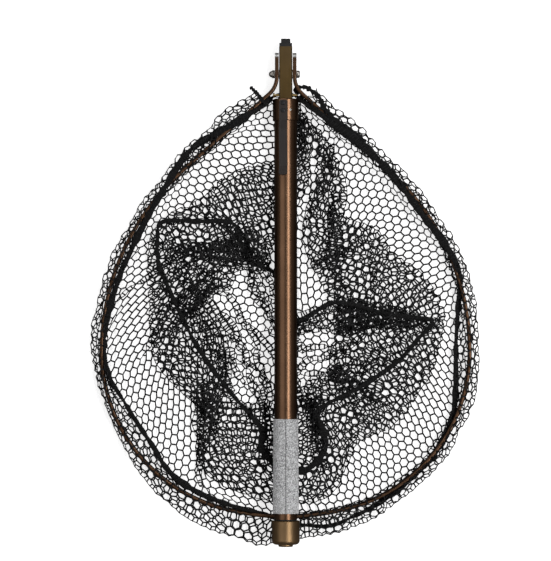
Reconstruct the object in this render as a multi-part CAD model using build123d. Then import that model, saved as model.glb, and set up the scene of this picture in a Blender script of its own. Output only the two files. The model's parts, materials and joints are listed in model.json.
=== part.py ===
from build123d import *
import os
from math import asin, cos, degrees, radians, sin, tan

# Folding landing net with a weigh scale in its handle, laid flat and folded: the handle lies on the hoop.
#
# Each rigid piece is drawn about the pivot bolt, in one of two frames whose X axis is the bolt. The handle
# runs along -Y, and "down" is the distance from the bolt towards the butt, so down = -Y. Negative values
# lie on the push button's side. The whole net then stands on the ground with its origin in the middle of
# its bounding box's underside.

# Handle tube and collar
tube_radius = 12.5
tube_wall = 1.25
tube_start = 29.6
tube_end = 486.8
collar_wall = 1.75
collar_start = 27.6
collar_end = 51.5
collar_lip = 2.0
collar_lip_bore = 10.3
collar_chamfer = 1.0
bush_end = 54.0
cut_over = 1.0

# Square bar, which slides in the collar
bar_width = 14.4
bar_wall = 1.6
bar_chamfer = 1.0
bar_start = -29.9
slide_travel = 75.0
slide_play = 0.05
end_play = 0.5
mark_pitch = 5.0
mark_depth = 0.25
mark_width = 0.5
mark_short = 4.0
mark_long = 8.0

# Pivot
bolt_radius = 2.5
bolt_head_radius = 4.1
bolt_head_height = 3.6
bolt_socket = 1.5
bush_radius = 3.5
washer_radius = 5.0
washer_thickness = 0.4
nut_flats = 7.6
nut_base = 3.0
nut_dome = 3.6
pivot_play = 0.05
side_play = 0.1

# Latch and push button
pin_radius = 1.2
pin_down = 23.2
pin_head_radius = 2.6
pin_head_height = 2.0
pin_reach = 12.5
pin_chamfer = 0.3
latch_travel = 1.6
latch_play = 0.05
notch_depth = 0.2
button_start = -38.7
button_corner = 1.6
button_edge = 0.8
stem_sink = 2.0
plug_step = 0.2
plug_rim = 1.85
plug_start = -33.8
plug_spigot = 8.0
plug_edge = 0.6
stem_radius = 3.0
rod_thickness = 3.0
rod_start = -20.0
rod_end = 27.5
tail_radius = 2.0
tail_length = 16.0
seat_start = 42.0
seat_length = 5.0
loose_play = 0.2
return_wire = 0.45
return_coil_room = 0.95
return_turns = 6

# Weigh scale
guide_length = 12.0
guide_spigot = 15.5
spring_coil = 8.0
spring_wire = 0.9
spring_length = 90.0
spring_turns = 20
spring_spigot_radius = 6.8
spring_spigot = 5.0
anchor_length = 12.0
lock_rod_radius = 3.0
lock_rod_lap = 16.5
lock_rod_chamfer = 1.0
guide_screw_radius = 1.2
guide_screw_gap = 0.6

# Grip and butt
grip_length = 103.0
grip_neck = 6.3
grip_front_wall = 1.3
grip_back_wall = 1.75
grip_lip = 0.8
seam_width = 0.6
seam_depth = 0.5
insert_length = 16.8
seal_inset = 0.9
seal_gap = 1.4
seal_play = 0.02
cap_step = 2.75
cap_length = 26.0
cap_shoulder = 4.5
cap_edge = 0.8
nub_radius = 8.0
nub_length = 2.4
cap_bore_depth = 16.0

# Belt clip, on a flat that is turned to the left of the top of the collar
clip_width = 9.0
clip_thickness = 1.2
clip_angle = -11.0
clip_flat_depth = 0.85
clip_start = 29.3
clip_end = 111.5
clip_rise = 2.8
clip_tip = 3.2
clip_ramp = 10.0
clip_bend = 6.0
clip_screw_radius = 1.4
clip_screw_head = 2.4
clip_screw_head_height = 1.4
clip_screw_floor = 0.4
clip_screw_reach = 1.0
clip_screw_downs = (32.8, 40.9)
set_screw_radius = 1.25
set_screw_angle = 21.2
set_screw_down = 40.1
set_screw_sink = 0.2
set_screw_socket = 1.0

# Hoop: a flat-oval bar on edge, bent to a tear-drop
hoop_thickness = 4.2
hoop_height = 11.0
hoop_rounding = 1.6
tang_height = 10.0
hoop_half_width = 202.0
hoop_bend_down = 3.0
hoop_bend_radius = 25.0
hoop_angle = 48.5
hoop_side_radius = 266.0
hoop_corner_radius = 178.0
hoop_bottom_depth = 181.2

# Mesh bag, folded flat on the ground
sleeve_start = 14.0
sleeve_wall = 1.2
sleeve_height = 13.8
flap_width = 8.6
flap_thickness = 3.0
flap_lap = 0.5
rim_seam_width = 5.0
rim_seam_height = 4.0
rim_seam_drop = 4.0
rim_seam_setback = 6.0
rim_seam_rounding = 1.0
bag_gap = 0.4
bag_start = 26.0
wall_floor = 0.3
wall_thickness = 2.2
handle_slot = 34.0
slot_room = 3.5
base_thickness = 2.0
base_seam_width = 5.0
base_seam_height = 3.4
base_corner = 6.0
base_outline = (
    (-138, 162),
    (-60, 162),
    (-40, 206),
    (-12, 218),
    (12, 270),
    (50, 251),
    (98, 261),
    (160, 272),
    (122, 317),
    (50, 370),
    (15, 400),
    (-26, 384),
    (-88, 313),
    (-141, 206),
)

# How the folded net lies on the ground: on its collar and on the far end of its hem
ground_gap = 0.25
lie_gap = 1.0

# Sizes that follow from those above
tube_bore = tube_radius - tube_wall
collar_radius = tube_radius + collar_wall
grip_front_radius = tube_radius + grip_front_wall
grip_back_radius = tube_radius + grip_back_wall
cap_radius = tube_radius + cap_step
clip_seat = collar_radius - clip_flat_depth
bar_bore = bar_width - 2 * bar_wall
bar_half = bar_width / 2
plug_width = bar_width - 2 * plug_step
button_width = plug_width - 2 * plug_rim
rod_height = bar_bore - 2 * loose_play
return_coil = bar_bore / 2 - return_wire - return_coil_room
tang_inner = bar_half + washer_thickness + slide_play
tang_outer = tang_inner + hoop_thickness
tang_centre = (tang_inner + tang_outer) / 2
clamp_face = tang_outer + side_play
tip_down = pin_down + notch_depth
guide_start = bush_end + slide_travel + end_play
guide_end = guide_start + guide_length
bar_end = guide_start
lock_rod_start = guide_start - lock_rod_lap
spring_start = guide_end
spring_end = spring_start + spring_length
seal_radius = tube_radius - seal_inset
insert_start = tube_end - insert_length
grip_end = tube_end - grip_neck
grip_start = grip_end - grip_length
cap_start = tube_end + seal_gap
cap_end = cap_start + cap_length
base_floor = wall_floor + wall_thickness + bag_gap
handle_slot_down = collar_end + slide_travel + slot_room

# The hoop's straight arm is as long as its bend and its side leave room for, so that all three are tangent
turn = radians(hoop_angle)
arm_spread = hoop_half_width - tang_centre - (hoop_side_radius + hoop_bend_radius) * (1 - cos(turn))
hoop_side_down = (
    hoop_bend_down + (hoop_bend_radius + hoop_side_radius) * sin(turn) + arm_spread / tan(turn)
)
hoop_bottom_down = hoop_side_down + hoop_bottom_depth

# The widest piece of the handle clears the hem under it, and the hem's far end is just above the ground
handle_rise = cap_radius + sleeve_height + ground_gap + lie_gap - collar_radius
crossing_down = min(cap_start, hoop_bottom_down)
handle_tilt = asin(handle_rise / (crossing_down - collar_start - collar_chamfer))
pivot_height = collar_radius * cos(handle_tilt) - (collar_start + collar_chamfer) * sin(handle_tilt)
hoop_tilt = asin((pivot_height - sleeve_height / 2 - ground_gap) / hoop_bottom_down)


def rod(radius, start, end, x=0, z=0):
    """A round bar along the handle, from one distance down to another."""
    return Pos(x, -(start + end) / 2, z) * Rot(90, 0, 0) * Cylinder(radius, end - start)


def cross_rod(radius, left, right, down):
    """A round bar across the handle, from one x to another."""
    return Pos((left + right) / 2, -down, 0) * Rot(0, 90, 0) * Cylinder(radius, right - left)


def bar(width, height, start, end):
    """A rectangular bar along the handle."""
    return Pos(0, -(start + end) / 2, 0) * Box(width, end - start, height)


def upright(radius, low, high, down):
    """A round bar along Z."""
    return Pos(0, -down, (low + high) / 2) * Cylinder(radius, high - low)


def turned(shape, angle):
    """The shape turned about the handle's axis, positive towards +X from the top."""
    return Rot(0, angle, 0) * shape


def ring_edges(shape, down):
    """The round edges of a turned piece that lie at one distance down."""
    return shape.edges().filter_by(GeomType.CIRCLE).filter_by_position(Axis.Y, -down - 0.01, -down + 0.01)


def coil(coil_radius, wire_radius, start, end, turns):
    """An open coil spring along the handle, between two distances down."""
    low, high = start + wire_radius, end - wire_radius
    path = Helix((high - low) / turns, high - low, coil_radius)
    section = Plane(path @ 0, z_dir=path % 0) * Circle(wire_radius)
    return Pos(0, -low, 0) * Rot(90, 0, 0) * sweep(section, path=path)


def make_handle_tube():
    tube = rod(tube_radius, tube_start, tube_end) - rod(tube_bore, tube_start, tube_end)
    return tube - clip_screw_shafts() - set_screw_hole()


def clip_flat():
    """The space over the flat that the belt clip sits on."""
    top = collar_radius + cut_over
    width = clip_width + 2 * loose_play
    space = bar(width, top - clip_seat, collar_start - cut_over, collar_end + cut_over)
    return turned(Pos(0, 0, (clip_seat + top) / 2) * space, clip_angle)


def clip_screw_shafts():
    top = clip_seat + clip_thickness
    low = tube_bore - clip_screw_reach
    shafts = [upright(clip_screw_radius, low, top, down) for down in clip_screw_downs]
    return turned(Part() + shafts, clip_angle)


def set_screw_hole():
    hole = upright(set_screw_radius, tube_bore, collar_radius + cut_over, set_screw_down)
    return turned(hole, set_screw_angle)


def make_collar():
    body = rod(collar_radius, collar_start, collar_end)
    body = chamfer(ring_edges(body, collar_start), collar_chamfer)
    body = chamfer(ring_edges(body, collar_end), collar_chamfer / 2)
    body -= rod(tube_radius, collar_start + collar_lip, collar_end)
    body -= rod(collar_lip_bore, collar_start, collar_start + collar_lip)
    return body - clip_flat() - clip_screw_shafts() - set_screw_hole()


def make_collar_bush():
    bush = rod(tube_bore, tube_start, bush_end)
    bore = bar_width + 2 * slide_play
    return bush - bar(bore, bore, tube_start, bush_end) - clip_screw_shafts()


def make_belt_clip():
    mid = clip_seat + clip_thickness / 2
    low = tube_radius + clip_thickness
    points = (
        (-clip_start, mid),
        (-collar_end, mid),
        (-collar_end - clip_ramp, mid + clip_rise),
        (-clip_end + clip_ramp, low),
        (-clip_end, low + clip_tip),
    )
    line = Plane.YZ * FilletPolyline(*points, radius=clip_bend)
    section = Plane(line @ 0, x_dir=(1, 0, 0), z_dir=line % 0) * Rectangle(clip_width, clip_thickness)
    strip = sweep(section, path=line)
    corners = strip.edges().filter_by(lambda e: abs(e.length - clip_thickness) < 0.01)
    strip = fillet(corners, clip_width / 4)
    return turned(strip, clip_angle) - clip_screw_shafts()


def make_clip_screws():
    screws = []
    for down in clip_screw_downs:
        seat = clip_seat + clip_thickness
        head = upright(clip_screw_head, seat, seat + clip_screw_head_height, down)
        rim = head.edges().filter_by(GeomType.CIRCLE).sort_by(Axis.Z)[-1]
        head = fillet(rim, clip_screw_head_height / 2)
        socket = upright(clip_screw_head / 3, seat + clip_screw_floor, seat + clip_screw_head_height, down)
        shaft = upright(clip_screw_radius, tube_bore - clip_screw_reach, seat, down)
        screws.append(head - socket + shaft)
    return turned(Part() + screws, clip_angle)


def make_set_screw():
    top = collar_radius - set_screw_sink
    screw = upright(set_screw_radius, tube_bore, top, set_screw_down)
    screw -= upright(set_screw_radius / 2, top - set_screw_socket, collar_radius, set_screw_down)
    return turned(screw, set_screw_angle)


def make_foam_grip():
    length = grip_end - grip_start
    cone = Cone(grip_front_radius, grip_back_radius, length)
    grip = Pos(0, -(grip_start + grip_end) / 2, 0) * Rot(90, 0, 0) * cone
    grip = fillet(ring_edges(grip, grip_start) + ring_edges(grip, grip_end), grip_lip)
    grip -= rod(tube_radius, grip_start, grip_end)
    seam = Pos(0, 0, grip_back_radius) * bar(
        seam_width, 2 * (grip_back_radius - grip_front_radius + seam_depth), grip_start, grip_end
    )
    return grip - seam


def make_spring_anchor():
    body = rod(tube_bore, spring_end, spring_end + anchor_length)
    body += rod(spring_spigot_radius, spring_end - spring_spigot, spring_end)
    return body - rod(lock_rod_radius + loose_play, spring_end - spring_spigot, spring_end + anchor_length)


def make_butt_insert():
    insert = rod(tube_bore, insert_start, tube_end)
    return insert - rod(lock_rod_radius + slide_play, insert_start, tube_end)


def make_butt_seal():
    seal = Torus(seal_radius, seal_gap / 2 - seal_play)
    return Pos(0, -(tube_end + seal_gap / 2), 0) * Rot(90, 0, 0) * seal


def make_butt_cap():
    cap = rod(cap_radius, cap_start, cap_end)
    cap = fillet(ring_edges(cap, cap_end), cap_shoulder)
    cap = chamfer(ring_edges(cap, cap_start), cap_edge)
    nub = rod(nub_radius, cap_end, cap_end + nub_length)
    nub = fillet(ring_edges(nub, cap_end + nub_length), nub_length / 2)
    return cap + nub - rod(lock_rod_radius, cap_start, cap_start + cap_bore_depth)


def make_lock_rod():
    body = rod(lock_rod_radius, lock_rod_start, cap_start + cap_bore_depth)
    return chamfer(ring_edges(body, lock_rod_start), lock_rod_chamfer)


def make_head_bar():
    body = bar(bar_width, bar_width, bar_start, bar_end)
    body = chamfer(body.edges().filter_by(Axis.Y), bar_chamfer)
    body -= bar(bar_bore, bar_bore, bar_start, bar_end)
    body -= cross_rod(bush_radius, -bar_half, bar_half, 0)
    slot = pin_radius + latch_play
    body -= bar(bar_width, 2 * slot, pin_down, pin_down + latch_travel)
    body -= cross_rod(slot, -bar_half, bar_half, pin_down)
    body -= cross_rod(slot, -bar_half, bar_half, pin_down + latch_travel)
    body -= guide_screw_shafts(bar_half)
    for i in range(1, int(slide_travel / mark_pitch) + 1):
        down = collar_start + i * mark_pitch
        length = mark_short if i % 2 else mark_long
        body -= Pos(0, -down, bar_half) * Box(length, mark_width, 2 * mark_depth)
    return body


def make_head_plug():
    plug = bar(plug_width, plug_width, plug_start, bar_start)
    plug = chamfer(plug.edges().filter_by(Axis.Y), bar_chamfer)
    plug = fillet(plug.faces().sort_by(Axis.Y)[-1].edges(), plug_edge)
    plug += bar(bar_bore, bar_bore, bar_start, bar_start + plug_spigot)
    pocket = button_width + 2 * loose_play
    plug -= bar(pocket, pocket, plug_start, plug_start + latch_travel + loose_play)
    return plug - rod(stem_radius + loose_play, plug_start, bar_start + plug_spigot)


def make_push_button():
    body = bar(button_width, button_width, button_start, plug_start)
    body = fillet(body.edges().filter_by(Axis.Y), button_corner)
    body = fillet(body.faces().sort_by(Axis.Y)[-1].edges(), button_edge)
    return body - rod(stem_radius, button_start + stem_sink, plug_start)


def make_push_rod():
    body = rod(stem_radius, button_start + stem_sink, rod_start)
    body += bar(rod_thickness, rod_height, rod_start, rod_end)
    body += rod(tail_radius, rod_end, rod_end + tail_length)
    room = bush_radius + loose_play
    body -= bar(rod_thickness, 2 * room, -latch_travel, 0)
    body -= cross_rod(room, -rod_thickness, rod_thickness, 0)
    body -= cross_rod(room, -rod_thickness, rod_thickness, -latch_travel)
    return body - cross_rod(pin_radius, -rod_thickness, rod_thickness, pin_down)


def make_latch_pin():
    inner = clamp_face + latch_play
    head = cross_rod(pin_head_radius, -inner - pin_head_height, -inner, pin_down)
    rim = head.edges().filter_by(GeomType.CIRCLE).sort_by(Axis.X)[0]
    head = chamfer(rim, pin_head_height / 4)
    shaft = cross_rod(pin_radius, -inner, pin_reach, pin_down)
    shaft = chamfer(shaft.edges().filter_by(GeomType.CIRCLE).sort_by(Axis.X)[-1], pin_chamfer)
    return head + shaft


def make_return_spring():
    return coil(return_coil, return_wire, rod_end, seat_start, return_turns)


def make_spring_seat():
    seat = bar(bar_bore, bar_bore, seat_start, seat_start + seat_length)
    return seat - rod(tail_radius + loose_play, seat_start, seat_start + seat_length)


def make_pivot_bush():
    bush = cross_rod(bush_radius, -bar_half, bar_half, 0)
    return bush - cross_rod(bolt_radius, -bar_half, bar_half, 0)


def make_side_washers():
    washers = []
    for side in (-1, 1):
        ends = sorted((side * bar_half, side * (bar_half + washer_thickness)))
        washers.append(cross_rod(washer_radius, *ends, 0) - cross_rod(bolt_radius, *ends, 0))
    return Part() + washers


def make_pivot_bolt():
    head = cross_rod(bolt_head_radius, clamp_face, clamp_face + bolt_head_height, 0)
    rim = head.edges().filter_by(GeomType.CIRCLE).sort_by(Axis.X)[-1]
    head = fillet(rim, bolt_head_height / 2)
    socket = Plane.YZ * RegularPolygon(bolt_socket, 6)
    head -= Pos(clamp_face + bolt_head_height / 2, 0, 0) * extrude(socket, bolt_head_height)
    return head + cross_rod(bolt_radius, -clamp_face - nut_base, clamp_face, 0)


def make_pivot_nut():
    flats = Plane.YZ * RegularPolygon(nut_flats / 2, 6, major_radius=False)
    base = Pos(-clamp_face - nut_base, 0, 0) * extrude(flats, nut_base)
    dome = Pos(-clamp_face - nut_base, 0, 0) * Sphere(nut_dome)
    nut = base + (dome & cross_rod(nut_dome, -clamp_face - nut_base - nut_dome, -clamp_face, 0))
    return nut - cross_rod(bolt_radius, -clamp_face - nut_base, -clamp_face, 0)


def guide_screw_shafts(reach):
    down = bar_end - guide_spigot / 2
    inner = lock_rod_radius + guide_screw_gap
    right = cross_rod(guide_screw_radius, inner, reach, down)
    return Part() + [right, cross_rod(guide_screw_radius, -reach, -inner, down)]


def make_slide_guide():
    body = rod(tube_bore - slide_play, guide_start, guide_end)
    body += bar(bar_bore, bar_bore, bar_end - guide_spigot, bar_end)
    body += rod(spring_spigot_radius, guide_end, guide_end + spring_spigot)
    body -= rod(lock_rod_radius + slide_play, bar_end - guide_spigot, guide_end + spring_spigot)
    return body - guide_screw_shafts(bar_half)


def make_guide_screws():
    return guide_screw_shafts(bar_half - loose_play)


def make_scale_spring():
    return coil(spring_coil, spring_wire, spring_start, spring_end, spring_turns)


def rim_line(inset, start):
    """A line round the hoop, that distance inside its centreline, from start along one arm to the other."""
    bend = (tang_centre + hoop_bend_radius, hoop_bend_down)
    side = (hoop_half_width - hoop_side_radius, hoop_side_down)
    corner = (hoop_half_width - hoop_corner_radius, hoop_side_down)
    depth = hoop_bottom_down - hoop_side_down
    spare = hoop_half_width - hoop_corner_radius
    bottom_radius = (spare**2 + depth**2 - hoop_corner_radius**2) / (2 * (depth - hoop_corner_radius))
    bottom = (0, hoop_bottom_down - bottom_radius)
    bottom_angle = asin(spare / (bottom_radius - hoop_corner_radius))

    def on(centre, radius, bearing):
        """The point of an arc whose outward normal is at that angle from +X towards the bottom."""
        return (centre[0] + radius * cos(bearing), -centre[1] - radius * sin(bearing))

    bend_end = on(bend, -hoop_bend_radius - inset, -turn)
    side_start = on(side, hoop_side_radius - inset, -turn)
    side_mid = on(side, hoop_side_radius - inset, -turn / 2)
    side_end = on(side, hoop_side_radius - inset, 0)
    corner_turn = radians(90) - bottom_angle
    corner_mid = on(corner, hoop_corner_radius - inset, corner_turn / 2)
    corner_end = on(corner, hoop_corner_radius - inset, corner_turn)
    foot = on(bottom, bottom_radius - inset, radians(90))
    lines = []
    if start <= 0:
        bend_start = (tang_centre - inset, -hoop_bend_down)
        bend_mid = on(bend, -hoop_bend_radius - inset, -turn / 2)
        lines.append(Line((tang_centre - inset, start), bend_start))
        lines.append(ThreePointArc(bend_start, bend_mid, bend_end))
        first = bend_end
    else:
        first = (bend_end[0] + start * sin(turn), bend_end[1] - start * cos(turn))
    lines.append(Line(first, side_start))
    lines.append(ThreePointArc(side_start, side_mid, side_end))
    lines.append(ThreePointArc(side_end, corner_mid, corner_end))
    lines.append(ThreePointArc(corner_end, foot, (-corner_end[0], corner_end[1])))
    for line in list(reversed(lines[:-1])):
        back = [(-p.X, p.Y) for p in (line @ 1, line @ 0.5, line @ 0)]
        straight = line.geom_type == GeomType.LINE
        lines.append(Line(back[0], back[2]) if straight else ThreePointArc(*back))
    return Wire(edges_of(lines))


def edges_of(lines):
    return [edge for line in lines for edge in line.edges()]


def along_rim(path, section):
    """The section swept round the hoop. Its x axis points outwards, and its y axis up."""
    start = Plane(path @ 0, x_dir=Vector(0, 0, -1).cross(path % 0), z_dir=path % 0)
    if start.y_dir.Z < 0:
        start = Plane(path @ 0, x_dir=-start.x_dir, z_dir=path % 0)
    return sweep(start * section, path=path)


def make_hoop_frame():
    path = rim_line(0, -1)
    hoop = along_rim(path, RectangleRounded(hoop_thickness, hoop_height, hoop_rounding))
    tip_radius = tang_height / 2
    for side in (-1, 1):
        ends = sorted((side * tang_inner, side * tang_outer))
        tang = Pos(side * tang_centre, 0, 0) * bar(
            hoop_thickness, tang_height, -tip_down + tip_radius, hoop_bend_down
        )
        tang += cross_rod(tip_radius, *ends, -tip_down + tip_radius)
        hoop += tang
        hoop -= cross_rod(bolt_radius + pivot_play, side * tang_centre - hoop_thickness,
                          side * tang_centre + hoop_thickness, 0)
        hoop -= cross_rod(pin_radius + latch_play, side * tang_centre - hoop_thickness,
                          side * tang_centre + hoop_thickness, -pin_down)
    return hoop


def make_rim_sleeve():
    """The hem of the mesh: a tube of cloth round the hoop's bar, with a flap outside it."""
    path = rim_line(0, sleeve_start)
    room = bag_gap / 2
    width = hoop_thickness + 2 * room + 2 * sleeve_wall
    outer = RectangleRounded(width, sleeve_height, hoop_rounding)
    flap = Rectangle(flap_width + 2 * flap_lap, flap_thickness)
    outer += Pos((width + flap_width) / 2 - flap_lap, 0) * flap
    hole = Rectangle(hoop_thickness + 2 * room, hoop_height + 2 * room)
    return along_rim(path, outer) - along_rim(path, hole)


def make_rim_seam():
    """The bound seam that closes the hem, just inside the hoop."""
    inset = hoop_thickness / 2 + sleeve_wall + bag_gap + rim_seam_width / 2
    path = rim_line(inset, sleeve_start + rim_seam_setback)
    section = RectangleRounded(rim_seam_width, rim_seam_height, rim_seam_rounding)
    return Pos(0, 0, -rim_seam_drop) * along_rim(path, section)


def make_net_wall():
    """The side of the bag, fallen flat on the ground inside the hoop, open under the handle's slide."""
    inset = hoop_thickness / 2 + sleeve_wall + rim_seam_width + 3 * bag_gap
    path = rim_line(inset, bag_start)
    right, left = path @ 0, path @ 1
    half = handle_slot / 2
    points = (
        (left.X, left.Y),
        (-half, left.Y),
        (-half, -handle_slot_down),
        (half, -handle_slot_down),
        (half, right.Y),
        (right.X, right.Y),
    )
    slot = Polyline(*points)
    outline = Wire(path.edges() + slot.edges())
    return Pos(0, 0, wall_floor) * extrude(make_face(outline), wall_thickness)


def base_points():
    return [(x, -down) for x, down in base_outline]


def make_net_base():
    """The base panel of the bag, fallen on its wall."""
    face = make_face(Polyline(*base_points(), close=True))
    face = fillet(face.vertices(), base_corner)
    inner = offset(face, -base_seam_width / 2 - bag_gap)
    return Pos(0, 0, base_floor) * extrude(inner, base_thickness)


def make_base_seam():
    """The bound seam round the base panel."""
    face = make_face(Polyline(*base_points(), close=True))
    face = fillet(face.vertices(), base_corner)
    band = offset(face, base_seam_width / 2) - offset(face, -base_seam_width / 2)
    return Pos(0, 0, base_floor) * extrude(band, base_seam_height)


in_handle = Pos(0, 0, pivot_height) * Rot(-degrees(handle_tilt), 0, 0)
in_hoop = Pos(0, 0, pivot_height) * Rot(degrees(hoop_tilt), 0, 0)
on_ground = Pos(0, 0, 0)

pieces = {
    "handle_tube": in_handle * make_handle_tube(),
    "collar": in_handle * make_collar(),
    "collar_bush": in_handle * make_collar_bush(),
    "belt_clip": in_handle * make_belt_clip(),
    "clip_screws": in_handle * make_clip_screws(),
    "set_screw": in_handle * make_set_screw(),
    "foam_grip": in_handle * make_foam_grip(),
    "spring_anchor": in_handle * make_spring_anchor(),
    "butt_insert": in_handle * make_butt_insert(),
    "butt_seal": in_handle * make_butt_seal(),
    "scale_spring": in_handle * make_scale_spring(),
    "butt_cap": in_handle * make_butt_cap(),
    "lock_rod": in_handle * make_lock_rod(),
    "head_bar": in_handle * make_head_bar(),
    "head_plug": in_handle * make_head_plug(),
    "spring_seat": in_handle * make_spring_seat(),
    "return_spring": in_handle * make_return_spring(),
    "pivot_bush": in_handle * make_pivot_bush(),
    "side_washers": in_handle * make_side_washers(),
    "pivot_bolt": in_handle * make_pivot_bolt(),
    "pivot_nut": in_handle * make_pivot_nut(),
    "slide_guide": in_handle * make_slide_guide(),
    "guide_screws": in_handle * make_guide_screws(),
    "push_button": in_handle * make_push_button(),
    "push_rod": in_handle * make_push_rod(),
    "latch_pin": in_handle * make_latch_pin(),
    "hoop_frame": in_hoop * make_hoop_frame(),
    "rim_sleeve": in_hoop * make_rim_sleeve(),
    "rim_seam": in_hoop * make_rim_seam(),
    "net_wall": on_ground * make_net_wall(),
    "net_base": on_ground * make_net_base(),
    "base_seam": on_ground * make_base_seam(),
}

box = Compound(children=[Compound(p.solids()) for p in pieces.values()]).bounding_box()
to_origin = Pos(-(box.min.X + box.max.X) / 2, -(box.min.Y + box.max.Y) / 2, -box.min.Z)
print("pivot", to_origin * Pos(0, 0, pivot_height))
print("handle tilt", degrees(handle_tilt), "hoop tilt", degrees(hoop_tilt))
print("size", box.size)

os.makedirs("parts", exist_ok=True)
for name, shape in pieces.items():
    export_step(to_origin * shape, f"parts/{name}.step")
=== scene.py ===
import json
from math import asin, cos, pi, radians, sin, sqrt

import bpy
import numpy as np
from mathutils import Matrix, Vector


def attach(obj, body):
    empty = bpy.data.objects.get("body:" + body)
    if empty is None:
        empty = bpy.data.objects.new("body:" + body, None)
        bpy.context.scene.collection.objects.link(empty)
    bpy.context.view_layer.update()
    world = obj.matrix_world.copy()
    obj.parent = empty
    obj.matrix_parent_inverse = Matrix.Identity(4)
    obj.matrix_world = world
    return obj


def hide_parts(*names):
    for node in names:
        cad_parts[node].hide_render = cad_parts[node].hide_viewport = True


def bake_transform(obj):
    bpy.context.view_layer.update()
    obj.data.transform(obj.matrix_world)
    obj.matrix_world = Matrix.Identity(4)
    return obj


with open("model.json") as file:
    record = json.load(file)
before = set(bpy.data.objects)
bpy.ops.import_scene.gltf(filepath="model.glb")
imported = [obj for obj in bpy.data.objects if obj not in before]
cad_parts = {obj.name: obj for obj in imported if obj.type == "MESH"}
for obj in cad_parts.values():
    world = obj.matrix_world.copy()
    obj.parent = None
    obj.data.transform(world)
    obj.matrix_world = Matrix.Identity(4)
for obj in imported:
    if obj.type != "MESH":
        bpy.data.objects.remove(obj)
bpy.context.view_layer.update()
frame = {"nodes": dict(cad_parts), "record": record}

# The net frame: millimetres from the pivot bolt, x to the right, y towards the push button, and z up from
# the ground. "Down" is the distance from the bolt towards the butt.
PIVOT_Y = 238.846
PIVOT_Z = 13.2363
HANDLE_TILT = 2.01366
HOOP_TILT = 0.71847
MM = 0.001
rng = np.random.default_rng(7)


def to_row(points):
    """Net frame millimetres to row frame metres."""
    moved = np.array(points, float) + np.array([0.0, PIVOT_Y, 0.0])
    return moved * MM


def handle_height(down):
    return PIVOT_Z + down * np.sin(radians(HANDLE_TILT))


def hoop_height(down):
    return PIVOT_Z - down * np.sin(radians(HOOP_TILT))


# ---- the hoop's centreline, as in the CAD

TANG_CENTRE = 9.75
BEND_DOWN, BEND_RADIUS, TURN = 3.0, 25.0, radians(48.5)
HALF_WIDTH, SIDE_RADIUS, CORNER_RADIUS, BOTTOM_DEPTH = 202.0, 266.0, 178.0, 181.2


def arc(centre, radius, start, end, count=40):
    """Points of an arc; a bearing is measured from +x towards the butt, and y is up the handle."""
    turns = np.linspace(start, end, count)
    return np.stack([centre[0] + radius * np.cos(turns), -centre[1] - radius * np.sin(turns)], 1)


def hoop_line():
    spread = HALF_WIDTH - TANG_CENTRE - (SIDE_RADIUS + BEND_RADIUS) * (1 - cos(TURN))
    side_down = BEND_DOWN + (BEND_RADIUS + SIDE_RADIUS) * sin(TURN) + spread / np.tan(TURN)
    spare = HALF_WIDTH - CORNER_RADIUS
    bottom_radius = (spare**2 + BOTTOM_DEPTH**2 - CORNER_RADIUS**2) / (2 * (BOTTOM_DEPTH - CORNER_RADIUS))
    bottom_turn = asin(spare / (bottom_radius - CORNER_RADIUS))
    bottom = (0.0, side_down + BOTTOM_DEPTH - bottom_radius)
    right = np.concatenate([
        arc((TANG_CENTRE + BEND_RADIUS, BEND_DOWN), BEND_RADIUS, pi, pi - TURN),
        arc((HALF_WIDTH - SIDE_RADIUS, side_down), SIDE_RADIUS, -TURN, 0.0, 80),
        arc((HALF_WIDTH - CORNER_RADIUS, side_down), CORNER_RADIUS, 0.0, pi / 2 - bottom_turn, 80),
        arc(bottom, bottom_radius, pi / 2 - bottom_turn, pi / 2, 60),
    ])
    left = right * np.array([-1.0, 1.0])
    return np.concatenate([left, right[::-1]])


def unit(vectors):
    return vectors / np.linalg.norm(vectors, axis=-1, keepdims=True)


def run_along(line):
    """The length of a line from its start to each of its points."""
    return np.concatenate([[0.0], np.cumsum(np.linalg.norm(np.diff(line, axis=0), axis=1))])


def nearest_of(places, line):
    """The index of the point of a line that is nearest to each place, seen from above."""
    return ((places[:, None, :2] - line[None, :, :2]) ** 2).sum(2).argmin(1)


def resample(points, step):
    """Points of an open line, evenly spaced."""
    keep = np.concatenate([[True], np.diff(run_along(points)) > 1e-6])
    points = points[keep]
    along = run_along(points)
    at = np.linspace(0.0, along[-1], max(2, int(along[-1] / step)))
    return np.stack([np.interp(at, along, points[:, k]) for k in range(points.shape[1])], 1)


HOOP = resample(hoop_line(), 2.0)
HOOP = np.column_stack([HOOP, hoop_height(-HOOP[:, 1])])


def beside_hoop(places):
    """The hoop's middle nearest to each place, and the level direction across its bar there."""
    k = nearest_of(places, HOOP)
    ahead = unit(HOOP[np.minimum(k + 1, len(HOOP) - 1), :2] - HOOP[np.maximum(k - 1, 0), :2])
    return HOOP[k], np.stack([ahead[:, 1], -ahead[:, 0]], 1)


LOOP_STEPS = 24


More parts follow.
